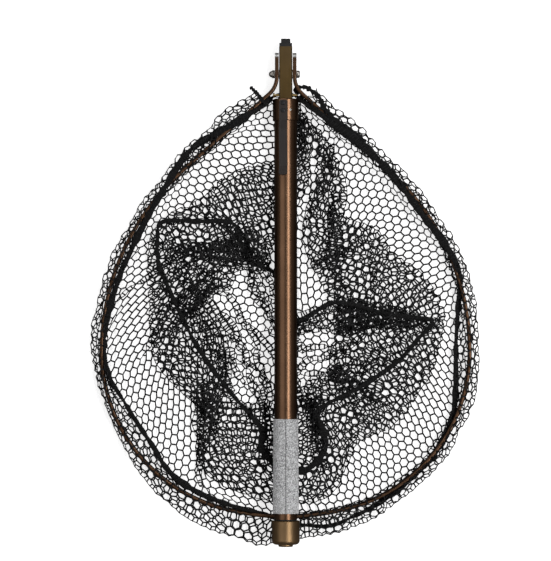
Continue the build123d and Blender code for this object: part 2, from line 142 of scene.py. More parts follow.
class Loop:
    """A smooth closed line through points, read by its fraction of arc length from 0 to 1."""

    def __init__(self, points):
        p = np.array(points, float)
        before, after, last = np.roll(p, 1, 0), np.roll(p, -1, 0), np.roll(p, -2, 0)
        t = np.linspace(0.0, 1.0, LOOP_STEPS, endpoint=False)[:, None, None]
        curve = 0.5 * (
            2 * p + (after - before) * t + (2 * before - 5 * p + 4 * after - last) * t**2
            + (3 * p - before - 3 * after + last) * t**3
        )
        line = curve.transpose(1, 0, 2).reshape(-1, p.shape[1])
        self.line = np.concatenate([line, line[:1]])
        self.along = run_along(self.line)
        self.length = self.along[-1]

    def at(self, fraction):
        s = np.mod(fraction, 1.0) * self.length
        return np.stack([np.interp(s, self.along, self.line[:, k]) for k in range(self.line.shape[1])], -1)

    def nearest(self, x, y):
        gap = np.hypot(self.line[:, 0] - x, self.line[:, 1] - y)
        return self.along[int(gap.argmin())] / self.length


# Where the hem is sewn to the bag: x, down and height. It runs anticlockwise from the head.
RIM_POINTS = (
    (0, 20, 2.4), (-12, 23, 4.0), (-22, 31, 10.5), (-36, 41, 17.0), (-50, 50, 19.5), (-72, 63, 16.0),
    (-97, 77, 14.0), (-112, 92, 15.0), (-131, 122, 18.6), (-148, 151, 17.0), (-165, 184, 15.5),
    (-182, 222, 14.5), (-195, 265, 14.6), (-200, 300, 12.0), (-193, 333, 8.0), (-181, 354, 5.5),
    (-163, 383, 5.0), (-145, 410, 5.0), (-133, 430, 5.5), (-117, 446, 7.5), (-92, 461, 9.0),
    (-58, 474, 7.5), (-22, 484, 5.0), (12, 494, 3.4), (48, 496, 3.0), (72, 487, 3.0), (98, 474, 2.0),
    (126, 454, 1.8), (157, 425, 2.2), (175, 398, 4.0), (184, 372, 6.0), (187, 340, 6.5),
    (187, 300, 6.0), (189, 262, 7.0), (191, 228, 12.5), (185, 204, 17.0), (170, 180, 17.6),
    (152, 158, 17.8), (131, 129, 18.2), (109, 102, 18.8), (84, 79, 19.2), (61, 61, 19.4),
    (38, 44, 19.0), (21, 31, 12.0), (11, 23, 4.6),
)
# How far the hem reaches outside the hoop, at places on the hoop
HEM_REACHES = (
    (-30, 30, 14), (-75, 77, 17), (-131, 124, 9), (-170, 176, 7), (-191, 229, 8), (-201, 281, 9),
    (-202, 316, 7), (-195, 352, 6), (-181, 387, 7), (-157, 422, 12), (-139, 439, 15), (-100, 465, 24),
    (-60, 478, 32), (-30, 484, 35), (0, 485, 30), (40, 482, 25), (80, 470, 20), (120, 450, 15),
    (157, 422, 12), (189, 369, 10), (199, 334, 10), (199, 264, 10), (178, 194, 10), (159, 159, 8),
    (131, 124, 8), (92, 88, 12), (64, 66, 14), (35, 40, 12),
)
# The outer fold of the bag's wall, the same way round
FOLD_POINTS = (
    (8, 34), (-3, 72), (-12, 94), (-50, 97), (-81, 107), (-110, 138), (-136, 155), (-147, 182),
    (-151, 236), (-153, 286), (-146, 319), (-112, 350), (-86, 376), (-94, 401), (-108, 426), (-91, 452),
    (-50, 470), (-17, 475), (16, 476), (52, 468), (65, 434), (84, 401), (118, 389), (145, 357),
    (167, 326), (174, 280), (171, 240), (158, 212), (114, 193), (105, 172), (58, 152), (50, 121),
    (60, 84), (39, 58), (22, 44),
)
# Where the wall is sewn to the base panel, the same way round
BASE_POINTS = (
    (12, 270), (0, 245), (-12, 219), (-26, 211), (-40, 204), (-50, 183), (-59, 163), (-98, 161),
    (-136, 162), (-141, 180), (-140, 206), (-130, 232), (-110, 275), (-88, 313), (-60, 350), (-36, 377),
    (-25, 393), (-27, 409), (-17, 423), (0, 434), (18, 435), (34, 426), (43, 409), (40, 388), (33, 372),
    (49, 360), (81, 344), (122, 316), (146, 290), (161, 271), (132, 266), (98, 260), (72, 252),
    (50, 251), (30, 262),
)
# Points of the rim, with the points of the outer fold and of the base seam that hang from them
PAIRS = (
    ((0, 20), (8, 34), (0, 243)), ((-50, 50), (-8, 85), (-20, 214)),
    ((-112, 92), (-74, 118), (-50, 183)), ((-131, 122), (-110, 138), (-98, 161)),
    ((-160, 175), (-147, 182), (-136, 165)), ((-199, 291), (-152, 262), (-122, 250)),
    ((-170, 372), (-146, 319), (-88, 313)), ((-143, 415), (-112, 350), (-60, 350)),
    ((-92, 461), (-105, 431), (-32, 383)), ((-22, 484), (-17, 475), (-17, 423)),
    ((15, 495), (16, 476), (18, 435)), ((56, 494), (52, 468), (40, 415)),
    ((112, 466), (84, 401), (40, 388)), ((157, 425), (118, 389), (81, 344)),
    ((184, 372), (145, 357), (110, 324)), ((187, 300), (172, 290), (149, 286)),
    ((191, 228), (171, 240), (150, 269)), ((180, 195), (128, 199), (122, 264)),
    ((152, 158), (105, 172), (98, 260)), ((109, 102), (58, 152), (72, 252)),
    ((84, 79), (50, 121), (60, 251)), ((61, 61), (60, 84), (50, 251)), ((38, 44), (39, 58), (36, 258)),
    ((21, 31), (22, 44), (20, 266)),
)
rim = Loop([(x, -down, z) for x, down, z in RIM_POINTS])
base = Loop([(x, -down) for x, down in BASE_POINTS])
fold = Loop([(x, -down) for x, down in FOLD_POINTS])
hem_reach = Loop([(x, -down, reach) for x, down, reach in HEM_REACHES])

# ---- the netting: one honeycomb of rubbered cord

CELL = 9.6
EDGE = CELL / sqrt(3)
CORD_WIDTH = 1.72
CORD_THICKNESS = 1.0
BAG_DEPTH = 304.0
HEM_WIDTH = 76.0
SECTOR = pi / 3
# The lowest that a cord's middle lies
FLOOR = 0.9
# Half the section of the hoop's bar, and the room that a cord keeps from it
BAR_HALF_WIDTH, BAR_HALF_HEIGHT, BAR_ROOM = 2.1, 5.5, 0.75
HOOP_SEARCH, HOOP_BATCH = 8, 1500
# The handle over the cloth: the collar sweeps from the head's end as far down as the scale's travel takes it
TUBE_RADIUS, COLLAR_RADIUS, HANDLE_ROOM = 12.5, 14.25, 0.9
COLLAR_SWEEP, HEAD_DOWN, HANDLE_DOWN = 126.5, 26.0, 520.0
SQUEEZED_ASIDE = 7.2
UNDER_BAR_REACH, UNDER_BAR_TOP = 16.0, 4.6
# How the cloth settles: the pull of a cord, the pull across a cell, and the rounds
CORD_PULL, CELL_PULL = 0.62, 0.14
SETTLE_ROUNDS, CLEAR_EVERY = 360, 12
NOISE_WAVES = 5
# How the wall is laid: the direction of its inner fold, how it eases down, between layers and up to the base
FOLD_FROM_RIM, FOLD_FROM_BASE = 2.0, 0.4
DROP_RUN, LAYER_RUN, BASE_RUN = 26.0, 8.0, 16
LAYER_HEIGHT, BASE_SEAM_HEIGHT = 1.15, 4.0
NEAR_FOLD = 14.0
# The band of cloth that is sewn, the scatter of its nodes, and the scatter of the free ones
SEWN, SEWN_SCATTER, SEWN_AXES = 3.2, 0.5, np.array([1.0, 1.0, 0.4])
WALL_SCATTER, PANEL_SCATTER = 0.25, 0.3
rim_radius = rim.length / SECTOR
base_radius = rim_radius - BAG_DEPTH


def honeycomb(reach, keep, sector=None):
    """The cells of a honeycomb that keep(x, y) accepts, as node places and the six nodes of each cell.

    With a sector of 60 degrees, nodes on its two edges are the same, so the cloth closes with no join."""
    n = int(reach / CELL * 1.2) + 2
    q, r = np.meshgrid(np.arange(-n, n + 1), np.arange(-n, n + 1))
    cx, cy = (CELL * (q + r / 2)).ravel(), (CELL * sqrt(3) / 2 * r).ravel()
    chosen = keep(cx, cy)
    if sector:
        turn = np.mod(np.arctan2(cy, cx), 2 * pi)
        chosen &= (turn < sector - 1e-6) | (turn > 2 * pi - 1e-6)
    cx, cy = cx[chosen], cy[chosen]
    angles = np.radians(30 + 60 * np.arange(6))
    x = cx[:, None] + EDGE * np.cos(angles)
    y = cy[:, None] + EDGE * np.sin(angles)
    if sector:
        turn = np.mod(np.arctan2(y, x) + 1e-6, 2 * pi)
        back = -np.floor(turn / sector) * sector
        x, y = x * np.cos(back) - y * np.sin(back), x * np.sin(back) + y * np.cos(back)
    keys = np.round(np.stack([x.ravel(), y.ravel()], 1) * 20 + 0.137).astype(int)
    _, first, cells = np.unique(keys, axis=0, return_index=True, return_inverse=True)
    return np.stack([x.ravel()[first], y.ravel()[first]], 1), cells.reshape(-1, 6)


def links(cells, count):
    """Each node's neighbours, and its neighbours' neighbours, padded with the node itself."""
    near = [set() for _ in range(count)]
    for cell in cells:
        for k in range(6):
            a, b = int(cell[k]), int(cell[(k + 1) % 6])
            near[a].add(b)
            near[b].add(a)
    first = np.tile(np.arange(count)[:, None], (1, 3))
    second = np.tile(np.arange(count)[:, None], (1, 6))
    for i in range(count):
        around = sorted(near[i])[:3]
        first[i, :len(around)] = around
        far = sorted({k for j in around for k in near[j]} - {i} - near[i])[:6]
        second[i, :len(far)] = far
    return first, second


def pulls(places, others, rest, strength):
    """How far each node moves to bring its links to their rest length."""
    gap = places[others] - places[:, None]
    length = np.linalg.norm(gap, axis=2)
    real = length > 1e-6
    error = np.where(real, (length - rest) / np.where(real, length, 1.0), 0.0)
    return strength * 0.5 * (gap * error[..., None]).sum(1)


def clear_hoop(places):
    """Moves nodes out of the hoop's bar, whose section is a rounded oblong on edge."""
    half = np.array([BAR_HALF_WIDTH + BAR_ROOM, BAR_HALF_HEIGHT + BAR_ROOM])
    box_lo, box_hi = HOOP.min(0) - HOOP_SEARCH, HOOP.max(0) + HOOP_SEARCH
    near = np.nonzero(((places > box_lo) & (places < box_hi)).all(1))[0]
    for part in np.array_split(near, max(1, len(near) // HOOP_BATCH)):
        centre, side = beside_hoop(places[part])
        away = ((places[part, :2] - centre[:, :2]) * side).sum(1)
        lift = places[part, 2] - centre[:, 2]
        inside = (np.abs(away) < half[0]) & (np.abs(lift) < half[1])
        out_side = half[0] - np.abs(away)
        out_lift = half[1] - np.abs(lift)
        sideways = inside & (out_side < out_lift)
        upwards = inside & ~sideways
        push = np.where(sideways, np.where(away < 0, -out_side, out_side), 0.0)
        places[part, :2] += push[:, None] * side
        places[part, 2] += np.where(upwards, np.where(lift < 0, -out_lift, out_lift), 0.0)


def clear_handle(places):
    """Keeps nodes under the handle, whose collar sweeps along the first part of it, and off the ground."""
    down = -places[:, 1]
    wide = np.where(down < COLLAR_SWEEP, COLLAR_RADIUS, TUBE_RADIUS) + HANDLE_ROOM
    over = (np.abs(places[:, 0]) < wide) & (down > HEAD_DOWN) & (down < HANDLE_DOWN)
    low = handle_height(down) - np.sqrt(np.clip(wide**2 - places[:, 0] ** 2, 0, None))
    squeezed = over & (low < FLOOR) & (down < COLLAR_SWEEP)
    side = np.where(places[:, 0] < 0, -1.0, 1.0)
    places[:, 0] = np.where(squeezed, side * SQUEEZED_ASIDE, places[:, 0])
    low = handle_height(down) - np.sqrt(np.clip(wide**2 - places[:, 0] ** 2, 0, None))
    places[:, 2] = np.where(over, np.minimum(places[:, 2], np.maximum(low, FLOOR)), places[:, 2])
    under_bar = (np.abs(places[:, 0]) < UNDER_BAR_REACH) & (down < HEAD_DOWN)
    places[:, 2] = np.where(under_bar, np.minimum(places[:, 2], UNDER_BAR_TOP), places[:, 2])
    places[:, 2] = np.maximum(places[:, 2], FLOOR)


def settle(places, cells, pinned, target, hold):
    """Lets the cords reach their own length, near where the cloth was laid out."""
    first, second = links(cells, len(places))
    places = places.copy()
    held = places[pinned].copy()
    for k in range(SETTLE_ROUNDS):
        move = pulls(places, first, EDGE, CORD_PULL)
        move += pulls(places, second, CELL, CELL_PULL)
        move += (target - places) * hold
        places += move
        if (k + 1) % CLEAR_EVERY == 0 or k == SETTLE_ROUNDS - 1:
            clear_hoop(places)
        clear_handle(places)
        places[pinned] = held
    return places


def smooth_noise(x, y, scale, seed, octaves=3):
    """A soft random height field over the cloth, about -1 to 1."""
    made = np.random.default_rng(seed)
    total = np.zeros_like(x)
    for octave in range(octaves):
        for _ in range(NOISE_WAVES):
            turn, phase = made.uniform(0, 2 * pi, 2)
            wave = 2 * pi / (scale * made.uniform(0.7, 1.5) / 2**octave)
            total += np.sin(wave * (x * cos(turn) + y * sin(turn)) + phase) / 2**octave
    return total / NOISE_WAVES


def noise_shift(flat, scale, seeds):
    return np.stack([smooth_noise(flat[:, 0], flat[:, 1], scale, s) for s in seeds], 1)


def hangs_from(t, loop, column):
    """The fraction of a loop that hangs from each fraction of the rim."""
    at_rim = np.array([rim.nearest(p[0][0], -p[0][1]) for p in PAIRS])
    at_loop = np.array([loop.nearest(p[column][0], -p[column][1]) for p in PAIRS])
    order = np.argsort(at_rim)
    at_rim, at_loop = at_rim[order], np.unwrap(at_loop[order], period=1.0)
    at_rim = np.concatenate([at_rim[-1:] - 1, at_rim, at_rim[:1] + 1])
    at_loop = np.concatenate([at_loop[-1:] - 1, at_loop, at_loop[:1] + 1])
    return np.interp(t, at_rim, at_loop)


def lay_wall(h, t):
    """Where the wall lies: in from the rim on the ground, out to its outer fold, and in again to the base.

    It also gives how near the outer fold each node is, from 0 to 1."""
    start = rim.at(t)
    outer = fold.at(hangs_from(t, fold, 1))
    sewn = base.at(hangs_from(t, base, 2))
    first, last = outer - start[:, :2], sewn - outer
    to_outer, to_base = np.linalg.norm(first, axis=1), np.linalg.norm(last, axis=1)
    back = np.maximum(BAG_DEPTH - to_outer - to_base, 0) / 2
    inward = FOLD_FROM_RIM * first / to_outer[:, None] + FOLD_FROM_BASE * last / to_base[:, None]
    inner = outer + unit(inward) * back[:, None]
    legs = np.stack([np.linalg.norm(inner - start[:, :2], axis=1), back, to_base], 1)
    bends = np.cumsum(legs, 1)
    share = h / BAG_DEPTH * bends[:, 2]
    spots = [start[:, :2], inner, outer, sewn]
    flat = np.zeros((len(t), 2))
    for k in range(3):
        low = bends[:, k] - legs[:, k]
        inside = (share >= low - 1e-9) & ((share < bends[:, k]) | (k == 2))
        f = np.clip((share - low) / np.maximum(legs[:, k], 1e-6), 0, 1)[:, None]
        flat = np.where(inside[:, None], spots[k] * (1 - f) + spots[k + 1] * f, flat)
    drop = np.clip(h / DROP_RUN, 0, 1)
    drop = drop * drop * (3 - 2 * drop)
    layer = sum(np.clip((share - bends[:, k]) / LAYER_RUN + 0.5, 0, 1) for k in (0, 1))
    end = np.clip((h - BAG_DEPTH + BASE_RUN) / BASE_RUN, 0, 1)
    z = start[:, 2] * (1 - drop) + drop * (FLOOR + LAYER_HEIGHT * layer)
    near_fold = np.exp(-(((share - bends[:, 1]) / NEAR_FOLD) ** 2))
    return np.column_stack([flat, z * (1 - end) + BASE_SEAM_HEIGHT * end]), near_fold


HEM_OFF_BAR = 5.5
HOOP_MIDDLE = np.array([0.0, -250.0])


def lay_hem(s, t):
    """Where the hem lies: from the seam under the hoop's bar, out past it, and back over it to the seam.

    Each spot of its path is a distance out from the bar's middle and a height. Where the seam itself is
    outside the bar, the hem goes the other way round."""
    seam = rim.at(t)
    centre, out = beside_hoop(seam)
    out *= np.where((out * (centre[:, :2] - HOOP_MIDDLE)).sum(1) < 0, -1, 1)[:, None]
    offset = ((seam[:, :2] - centre[:, :2]) * out).sum(1)
    reach = hem_reach.line[nearest_of(centre, hem_reach.line), 2]
    reach = reach * (1 + 0.25 * smooth_noise(centre[:, 0], centre[:, 1], 60, 3, 2))
    zh, zs = centre[:, 2], seam[:, 2]
    on_bar = np.abs(offset) < HEM_OFF_BAR
    inner_x, inner_z = np.where(on_bar, -3.6, offset), np.where(on_bar, zh + 1, zs)
    top_x, top_z = np.where(on_bar, offset, -2.4), np.where(on_bar, zs, zh + 6.5)
    path = [
        (offset, zs), (inner_x, inner_z), (-2.6, zh - 6.4), (2.6, zh - 6.4),
        (reach * 0.8, zh - 4.2), (reach, zh - 1.5), (reach * 0.7, zh + 3.6), (2.4, zh + 6.5),
        (top_x, top_z), (offset, zs),
    ]
    far = np.maximum(reach, offset + 5)
    path_outside = [
        (offset, zs), (offset * 0.7, zh - 4), (2.6, zh - 6.4), (-2.6, zh - 6.4),
        (-3.3, zh), (-2.4, zh + 6.5), (2.4, zh + 6.5), (far * 0.7, zh + 4.2),
        (far, zh - 1.0), (offset, zs),
    ]

    def stacked(way):
        return np.stack([np.stack(np.broadcast_arrays(*spot), 1) for spot in way], 1)

    spots = np.where((offset > HEM_OFF_BAR)[:, None, None], stacked(path_outside), stacked(path))
    spots[:, :, 1] = np.maximum(spots[:, :, 1], FLOOR + 0.2)
    legs = np.linalg.norm(np.diff(spots, axis=1), axis=2)
    along = np.concatenate([np.zeros((len(s), 1)), np.cumsum(legs, 1)], 1)
    want = s / HEM_WIDTH * along[:, -1]
    found = np.zeros((len(s), 2))
    for j in range(len(path) - 1):
        inside = (want >= along[:, j]) & (want <= along[:, j + 1] + 1e-9)
        f = np.where(inside, (want - along[:, j]) / np.maximum(legs[:, j], 1e-6), 0)[:, None]
        found = np.where(inside[:, None], spots[:, j] * (1 - f) + spots[:, j + 1] * f, found)
    flat = centre[:, :2] + out * found[:, :1] + (seam[:, :2] - centre[:, :2] - out * offset[:, None])
    return np.column_stack([flat, found[:, 1]])


def mouth_gap(t):
    """True where the rim crosses between the two arms, and has no hem."""
    place = rim.at(t)
    return (-place[:, 1] < 31) & (place[:, 0] > -28) & (place[:, 0] < 26)


# How firmly a node is held to where it was laid: at the outer fold, in height, and in the hem
FOLD_HOLD, WALL_LIFT_HOLD, HEM_HOLD = 0.03, 0.08, (0.11, 0.11, 0.1)


def make_wall_and_hem():
    """The nodes of the wall and hem as one cloth, and the cells of each."""
    outer = rim_radius + HEM_WIDTH

    def keep(x, y):
        away = np.hypot(x, y)
        t = np.mod(np.arctan2(y, x), 2 * pi) / SECTOR
        open_mouth = (away > rim_radius - 2) & mouth_gap(np.minimum(t, 1.0))
        return (away > base_radius) & (away < outer) & ~open_mouth

    flat, cells = honeycomb(outer, keep, SECTOR)
    away = np.hypot(flat[:, 0], flat[:, 1])
    t = np.mod(np.arctan2(flat[:, 1], flat[:, 0]), 2 * pi) / SECTOR
    h = rim_radius - away
    wall, near_fold = lay_wall(np.maximum(h, 0), t)
    hem = lay_hem(np.clip(-h, 0, HEM_WIDTH), t)
    places = np.where((h >= 0)[:, None], wall, hem)
    ripple = smooth_noise(flat[:, 0], flat[:, 1], 70, 11)
    free = (h > 8) & (h < BAG_DEPTH - 8)
    places[:, 2] += np.where(free, 0.7 * np.abs(ripple), 0.0)
    shift = noise_shift(flat, 55, (21, 22))
    places[:, :2] += np.where(free, 1.0, 0.25)[:, None] * shift * 1.6
    places += rng.normal(0, WALL_SCATTER, places.shape)
    sewn = (np.abs(h) < SEWN) | (h > BAG_DEPTH - SEWN) | (-h > HEM_WIDTH - SEWN)
    seam_rim, seam_base = rim.at(t), lay_wall(np.full(len(t), BAG_DEPTH), t)[0]
    at_rim = (np.abs(h) < SEWN) | (-h > HEM_WIDTH - SEWN)
    places[at_rim] = seam_rim[at_rim]
    bottom = h > BAG_DEPTH - SEWN
    places[bottom] = seam_base[bottom]
    places[sewn] += rng.normal(0, SEWN_SCATTER, (int(sewn.sum()), 3)) * SEWN_AXES
    hold = np.zeros((len(places), 3))
    hold[:, :2] = FOLD_HOLD * near_fold[:, None]
    hold[:, 2] = WALL_LIFT_HOLD
    hold[h < 0] = HEM_HOLD
    places = settle(places, cells, sewn, places.copy(), hold)
    centre_h = h[cells].mean(1)
    return places, cells[centre_h >= 0], cells[centre_h < 0]


PANEL_CENTRE = (-10.0, -300.0)
PANEL_FULLNESS = 1.22
PANEL_ASPECT = 0.72
PANEL_HEIGHT, PANEL_EDGE_HEIGHT = 3.9, 3.6
PANEL_SHIFT, PANEL_RIPPLE, PANEL_LIFT_HOLD = 6.5, 1.5, 0.06


def make_panel():
    """The base panel's nodes, cells and flat size: an oval with more cloth than its seam encloses."""
    a, b = 1.0, PANEL_ASPECT
    around = 2 * pi * sqrt((a * a + b * b) / 2)
    size = base.length * PANEL_FULLNESS / around
    a, b = a * size, b * size
    flat, cells = honeycomb(a, lambda x, y: (x / a) ** 2 + (y / b) ** 2 < 1)
    away = np.sqrt((flat[:, 0] / a) ** 2 + (flat[:, 1] / b) ** 2)
    turn = np.arctan2(flat[:, 1] / b, flat[:, 0] / a)
    edge_turns = np.linspace(-pi, pi, 721)
    steps = np.hypot(a * np.sin(edge_turns), b * np.cos(edge_turns))
    share = np.concatenate([[0.0], np.cumsum((steps[1:] + steps[:-1]) / 2)])
    share /= share[-1]
    phase = base.nearest(160, -271)
    edge_at = phase + np.interp(turn, edge_turns, share) - 0.5
    edge = base.at(edge_at)
    near = np.minimum(away, 1.0)[:, None]
    flat_places = np.array(PANEL_CENTRE) * (1 - near) + edge * near
    places = np.column_stack([flat_places, np.full(len(flat), PANEL_HEIGHT)])
    ripple = smooth_noise(flat[:, 0], flat[:, 1], 48, 31)
    places[:, 2] += PANEL_RIPPLE * np.abs(ripple)
    shift = noise_shift(flat, 40, (41, 42))
    inner = away < 1 - SEWN / b
    places[:, :2] += np.where(inner, 1.0, 0.0)[:, None] * shift * PANEL_SHIFT
    places += rng.normal(0, PANEL_SCATTER, places.shape)
    sewn = ~inner
    places[sewn] = np.column_stack([edge[sewn], np.full(int(sewn.sum()), PANEL_EDGE_HEIGHT)])
    places[sewn] += rng.normal(0, SEWN_SCATTER, (int(sewn.sum()), 3)) * SEWN_AXES
    hold = np.zeros((len(places), 3))
    hold[:, 2] = PANEL_LIFT_HOLD
    return settle(places, cells, sewn, places.copy(), hold), cells, (2 * a * MM, 2 * b * MM)


# ---- meshes


def add_object(name, data):
    made = bpy.data.objects.new(name, data)
    bpy.context.scene.collection.objects.link(made)
    return made


def new_object(name, verts, faces, material, smooth=True):
    mesh = bpy.data.meshes.new(name)
    mesh.from_pydata([tuple(v) for v in verts], [], [tuple(f) for f in faces])
    mesh.materials.append(material)
    if smooth:
        mesh.shade_smooth()
    return add_object(name, mesh)


def tube_faces(rows, sides, closed=False):
    """The faces of a tube whose points go ring by ring. One that isn't closed has a face over each end."""
    ids = np.arange(rows * sides).reshape(rows, sides)
    after = np.roll(ids, -1, 1)
    faces = np.stack([ids, after, np.roll(after, -1, 0), np.roll(ids, -1, 0)], 2)
    if closed:
        return faces.reshape(-1, 4).tolist()
    return faces[:-1].reshape(-1, 4).tolist() + [ids[0, ::-1].tolist(), ids[-1].tolist()]


def cord_mesh(name, places, cells, material):
    """The cloth's cords as one mesh: each cord has a ridge above, below and at each side of its line."""
    used, inverse = np.unique(cells, return_inverse=True)
    cells = inverse.reshape(cells.shape)
    p = places[used]
    ring = p[cells]
    after, before = np.roll(ring, -1, 1) - ring, np.roll(ring, 1, 1) - ring
    la, lb = np.linalg.norm(after, axis=2), np.linalg.norm(before, axis=2)
    ua, ub = after / np.maximum(la, 1e-6)[..., None], before / np.maximum(lb, 1e-6)[..., None]
    cross = np.cross(after, before)
    normal = np.zeros_like(p)
    for k in range(6):
        np.add.at(normal, cells[:, k], cross[:, k])
    length = np.linalg.norm(normal, axis=1)
    normal = np.where(length[:, None] > 1e-6, normal / np.maximum(length, 1e-6)[:, None], [0.0, 0.0, 1.0])
    bisector = ua + ub
    spread = np.linalg.norm(bisector, axis=2)
    half_sin = np.sqrt(np.clip((1 - (ua * ub).sum(2)) / 2, 0.09, 1))
    reach = np.minimum(CORD_WIDTH / 2 / half_sin, 0.42 * np.minimum(la, lb))
    centre = ring.mean(1, keepdims=True)
    inward = np.where(spread[..., None] > 0.15, bisector / np.maximum(spread, 1e-6)[..., None], 0.0)
    to_centre = centre - ring
    to_centre /= np.maximum(np.linalg.norm(to_centre, axis=2), 1e-6)[..., None]
    flip = ((inward * to_centre).sum(2) < 0)[..., None]
    inward = np.where(spread[..., None] > 0.15, np.where(flip, -inward, inward), to_centre)
    corner = ring + inward * reach[..., None]
    n, m = len(p), len(cells)
    top, bottom = p + normal * CORD_THICKNESS / 2, p - normal * CORD_THICKNESS / 2
    verts = to_row(np.concatenate([top, bottom, corner.reshape(-1, 3)]))
    ids = 2 * n + np.arange(m * 6).reshape(m, 6)
    nxt, ids_next = np.roll(cells, -1, 1), np.roll(ids, -1, 1)
    upper = np.stack([cells, nxt, ids_next, ids], 2).reshape(-1, 4)
    lower = np.stack([nxt + n, cells + n, ids, ids_next], 2).reshape(-1, 4)
    forward = set(zip(cells.ravel().tolist(), nxt.ravel().tolist()))
    rim_faces = [(b, a, a + n, b + n) for a, b in forward if (b, a) not in forward]
    return new_object(name, verts, upper.tolist() + lower.tolist() + rim_faces, material)


def add_uv(made, values):
    """One UV for each vertex, given as arc length and turn."""
    layer = made.data.uv_layers.new(name="along")
    for loop in made.data.loops:
        layer.data[loop.index].uv = values[loop.vertex_index]


# The power that makes a band's section squarer than an ellipse
SOFT_OVAL = 0.8


def sweep(name, line, widths, heights, material, sides=12, closed=True):
    """A soft oval band along a line, with its arc length and turn as its UV."""
    line = np.array(line, float)
    count = len(line)
    ahead = np.roll(line, -1, 0) - np.roll(line, 1, 0)
    if not closed:
        ahead[0], ahead[-1] = line[1] - line[0], line[-1] - line[-2]
    ahead = unit(ahead)
    side = unit(np.cross(ahead, [0.0, 0.0, 1.0]))
    up = np.cross(side, ahead)
    turns = np.linspace(0, 2 * pi, sides, endpoint=False)
    c, s = np.cos(turns), np.sin(turns)
    c, s = np.sign(c) * np.abs(c) ** SOFT_OVAL, np.sign(s) * np.abs(s) ** SOFT_OVAL
    across = (widths[:, None] / 2 * c)[..., None] * side[:, None]
    across = across + (heights[:, None] / 2 * s)[..., None] * up[:, None]
    verts = (line[:, None] + across).reshape(-1, 3)
    made = new_object(name, to_row(verts), tube_faces(count, sides, closed), material)
    along = run_along(line)
    add_uv(made, [(along[i] / 10, k / sides) for i in range(count) for k in range(sides)])
    return made


THREAD_PROUD, STITCH_LEAN, STITCH_WOBBLE = 0.1, 0.8, 0.12


def stitches(name, line, widths, heights, pitch, thickness, material):
    """Whip stitches over a band: short bent threads that lean along it."""
    along = run_along(line)
    spots = np.arange(pitch / 2, along[-1] - pitch / 2, pitch)
    ahead = unit(np.gradient(line, axis=0))
    verts, faces = [], []
    sides, steps = 5, 7
    one_stitch = tube_faces(steps, sides)
    for spot in spots:
        i = int(np.searchsorted(along, spot)) % len(line)
        forward = ahead[i]
        side = np.cross(forward, [0.0, 0.0, 1.0])
        side /= np.linalg.norm(side)
        up = np.cross(side, forward)
        w, t = widths[i] / 2 + THREAD_PROUD, heights[i] / 2 + THREAD_PROUD
        turns = np.linspace(0.02 * pi, 0.98 * pi, steps)
        lean = np.linspace(-0.5, 0.5, steps) * pitch * STITCH_LEAN
        wobble = rng.normal(0, STITCH_WOBBLE)
        path = np.array([
            line[i] + side * w * np.sign(cos(a)) * abs(cos(a)) ** SOFT_OVAL
            + up * t * abs(sin(a)) ** SOFT_OVAL + forward * (b + wobble)
            for a, b in zip(turns, lean)
        ])
        tangent = unit(np.gradient(path, axis=0))
        start = len(verts)
        for k in range(steps):
            one = np.cross(tangent[k], forward)
            one /= max(np.linalg.norm(one), 1e-6)
            two = np.cross(tangent[k], one)
            for m in range(sides):
                a = 2 * pi * m / sides
                verts.append(path[k] + thickness / 2 * (one * cos(a) + two * sin(a)))
        faces += [[start + i for i in face] for face in one_stitch]
    return new_object(name, to_row(verts), faces, material)


# ---- materials


class Paint:
    """A node material, with short ways to add and join nodes."""

    def __init__(self, name, colour, roughness, metallic=0.0, **sockets):
        self.material = bpy.data.materials.new(name)
        self.material.use_nodes = True
        self.tree = self.material.node_tree
        self.shader = self.tree.nodes["Principled BSDF"]
        self.set(self.shader, {"Base Color": (*colour, 1), "Roughness": roughness, "Metallic": metallic})
        self.set(self.shader, {key.replace("_", " "): value for key, value in sockets.items()})

    def set(self, node, values):
        for key, value in values.items():
            node.inputs[key].default_value = value

    def node(self, kind, inputs=None, **settings):
        made = self.tree.nodes.new(kind)
        for key, value in settings.items():
            setattr(made, key, value)
        for key, value in (inputs or {}).items():
            if isinstance(value, bpy.types.NodeSocket):
                self.tree.links.new(value, made.inputs[key])
            else:
                made.inputs[key].default_value = value
        return made

    def coords(self, kind="Object", scale=(1, 1, 1), turn=(0, 0, 0)):
        source = self.node("ShaderNodeTexCoord").outputs[kind]
        moved = self.node("ShaderNodeMapping", {"Vector": source, "Rotation": turn})
        return self.node("ShaderNodeMapping", {"Vector": moved.outputs[0], "Scale": scale}).outputs[0]

    def noise(self, vector, scale, detail=3.0, rough=0.55):
        values = {"Vector": vector, "Scale": scale, "Detail": detail, "Roughness": rough}
        return self.node("ShaderNodeTexNoise", values).outputs["Fac"]

    def remap(self, value, low, high, to_low, to_high):
        values = {"Value": value, "From Min": low, "From Max": high, "To Min": to_low, "To Max": to_high}
        return self.node("ShaderNodeMapRange", values).outputs["Result"]

    def math(self, operation, a, b=0.5):
        return self.node("ShaderNodeMath", {0: a, 1: b}, operation=operation).outputs[0]

    def mix(self, factor, a, b):
        made = self.node("ShaderNodeMix", data_type="RGBA")
        for index, value in ((0, factor), (6, a), (7, b)):
            if isinstance(value, bpy.types.NodeSocket):
                self.tree.links.new(value, made.inputs[index])
            else:
                made.inputs[index].default_value = value if index == 0 else (*value, 1)
        return made.outputs[2]

    def join(self, value, socket):
        self.tree.links.new(value, self.shader.inputs[socket])

    def bump(self, height, distance, strength=1.0, under=None):
        made = self.node("ShaderNodeBump", {"Height": height, "Distance": distance, "Strength": strength})
        if under is not None:
            self.tree.links.new(under, made.inputs["Normal"])
        return made.outputs[0]

    def pointy(self, low, high):
        sharp = self.node("ShaderNodeNewGeometry").outputs["Pointiness"]
        return self.remap(sharp, low, high, 0.0, 1.0)


HANDLE_TURN = (radians(HANDLE_TILT), 0, 0)
